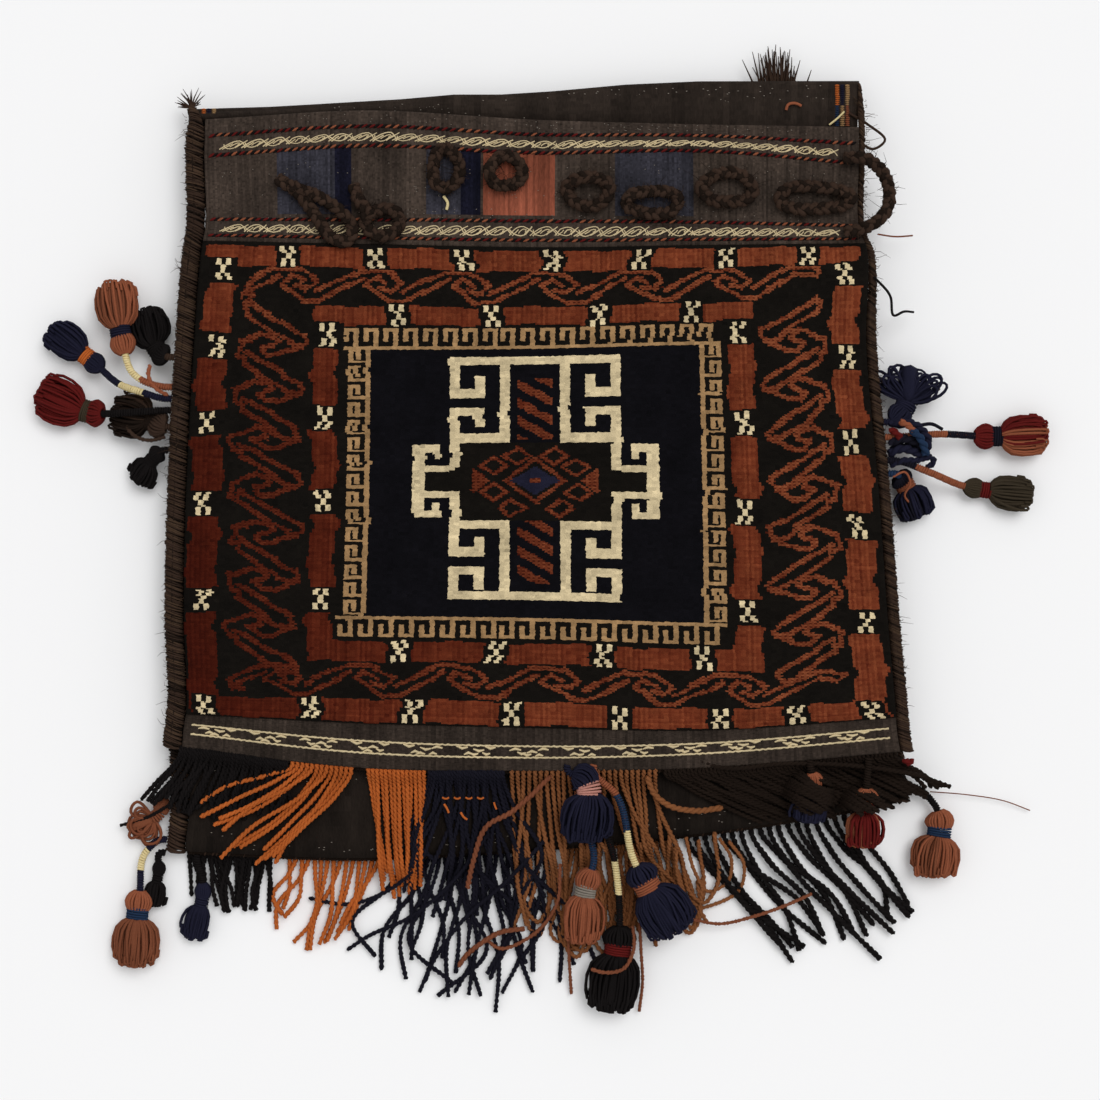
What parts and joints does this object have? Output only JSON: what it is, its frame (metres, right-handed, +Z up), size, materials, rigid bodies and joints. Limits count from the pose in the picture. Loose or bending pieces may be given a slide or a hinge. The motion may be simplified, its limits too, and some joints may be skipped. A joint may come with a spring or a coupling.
{
  "type": "kilim saddle bag",
  "caption": "Double wool saddle bag with knotted and flat woven faces, folded at its bridge so one pouch lies on the other; closure loops, fringe and tassels.",
  "frame": {"origin": "on the surface that the bag lies on, on the flat underside of the lower pouch's face, below the middle of the upper face", "axes": "+Z up through the layers, from the lower pouch to the upper one; +Y towards the fold of the bridge; -Y towards the fringed feet; +X to the right of someone who looks down with the fold away from them"},
  "size_m": [0.6154, 0.5884, 0.0357],
  "materials": {
    "flat_weave": "warp-faced goat hair and wool, matt",
    "pile_weave": "knotted wool pile in navy, madder, ivory and gold, matt",
    "goat_hair_binding": "oversewn goat hair, slight sheen",
    "goat_hair_braid": "braided goat hair, slight sheen",
    "orange_yarn": "plied wool, matt",
    "camel_yarn": "plied wool, matt",
    "navy_yarn": "plied wool, matt",
    "black_yarn": "plied wool, matt",
    "rust_yarn": "loose wool skein, matt",
    "cherry_yarn": "loose wool skein, matt"
  },
  "bodies": {
    "root": {"closure_loop_1": "goat_hair_braid", "closure_loop_2": "goat_hair_braid", "closure_loop_3": "goat_hair_braid", "closure_loop_4": "goat_hair_braid", "closure_loop_5": "goat_hair_braid", "closure_loop_6": "goat_hair_braid", "closure_loop_7": "goat_hair_braid", "closure_loop_8": "goat_hair_braid", "closure_loop_9": "goat_hair_braid", "fold_tuft": "goat_hair_braid", "foot_left_tassel_grey": "black_yarn", "foot_left_tassel_long": "rust_yarn", "foot_left_tassel_looped": "rust_yarn", "foot_left_tassel_navy": "navy_yarn", "foot_middle_tassel_black": "black_yarn", "foot_middle_tassel_navy": "navy_yarn", "foot_middle_tassel_rust": "rust_yarn", "foot_middle_tassel_wide": "navy_yarn", "foot_right_tassel_long": "rust_yarn", "foot_right_tassel_navy": "navy_yarn", "foot_right_tassel_rust": "rust_yarn", "left_tassel_black": "black_yarn", "left_tassel_cherry": "cherry_yarn", "left_tassel_dark": "black_yarn", "left_tassel_low": "black_yarn", "left_tassel_navy": "navy_yarn", "left_tassel_rust": "rust_yarn", "lower_face": "pile_weave", "lower_foot_seam": "flat_weave", "lower_fringe_black_left": "black_yarn", "lower_fringe_black_right": "black_yarn", "lower_fringe_camel": "camel_yarn", "lower_fringe_navy": "navy_yarn", "lower_fringe_orange": "orange_yarn", "lower_left_binding": "goat_hair_binding", "lower_right_binding": "goat_hair_binding", "right_tassel_cherry": "cherry_yarn", "right_tassel_navy": "navy_yarn", "right_tassel_navy_looped": "navy_yarn", "right_tassel_olive": "black_yarn", "saddle_cloth": "flat_weave", "upper_face": "pile_weave", "upper_foot_seam": "flat_weave", "upper_fringe_black_left": "black_yarn", "upper_fringe_black_right": "black_yarn", "upper_fringe_camel": "camel_yarn", "upper_fringe_navy": "navy_yarn", "upper_fringe_orange_left": "orange_yarn", "upper_fringe_orange_right": "orange_yarn", "upper_left_binding": "goat_hair_binding", "upper_right_binding": "goat_hair_binding"}
  },
  "joints": []
}
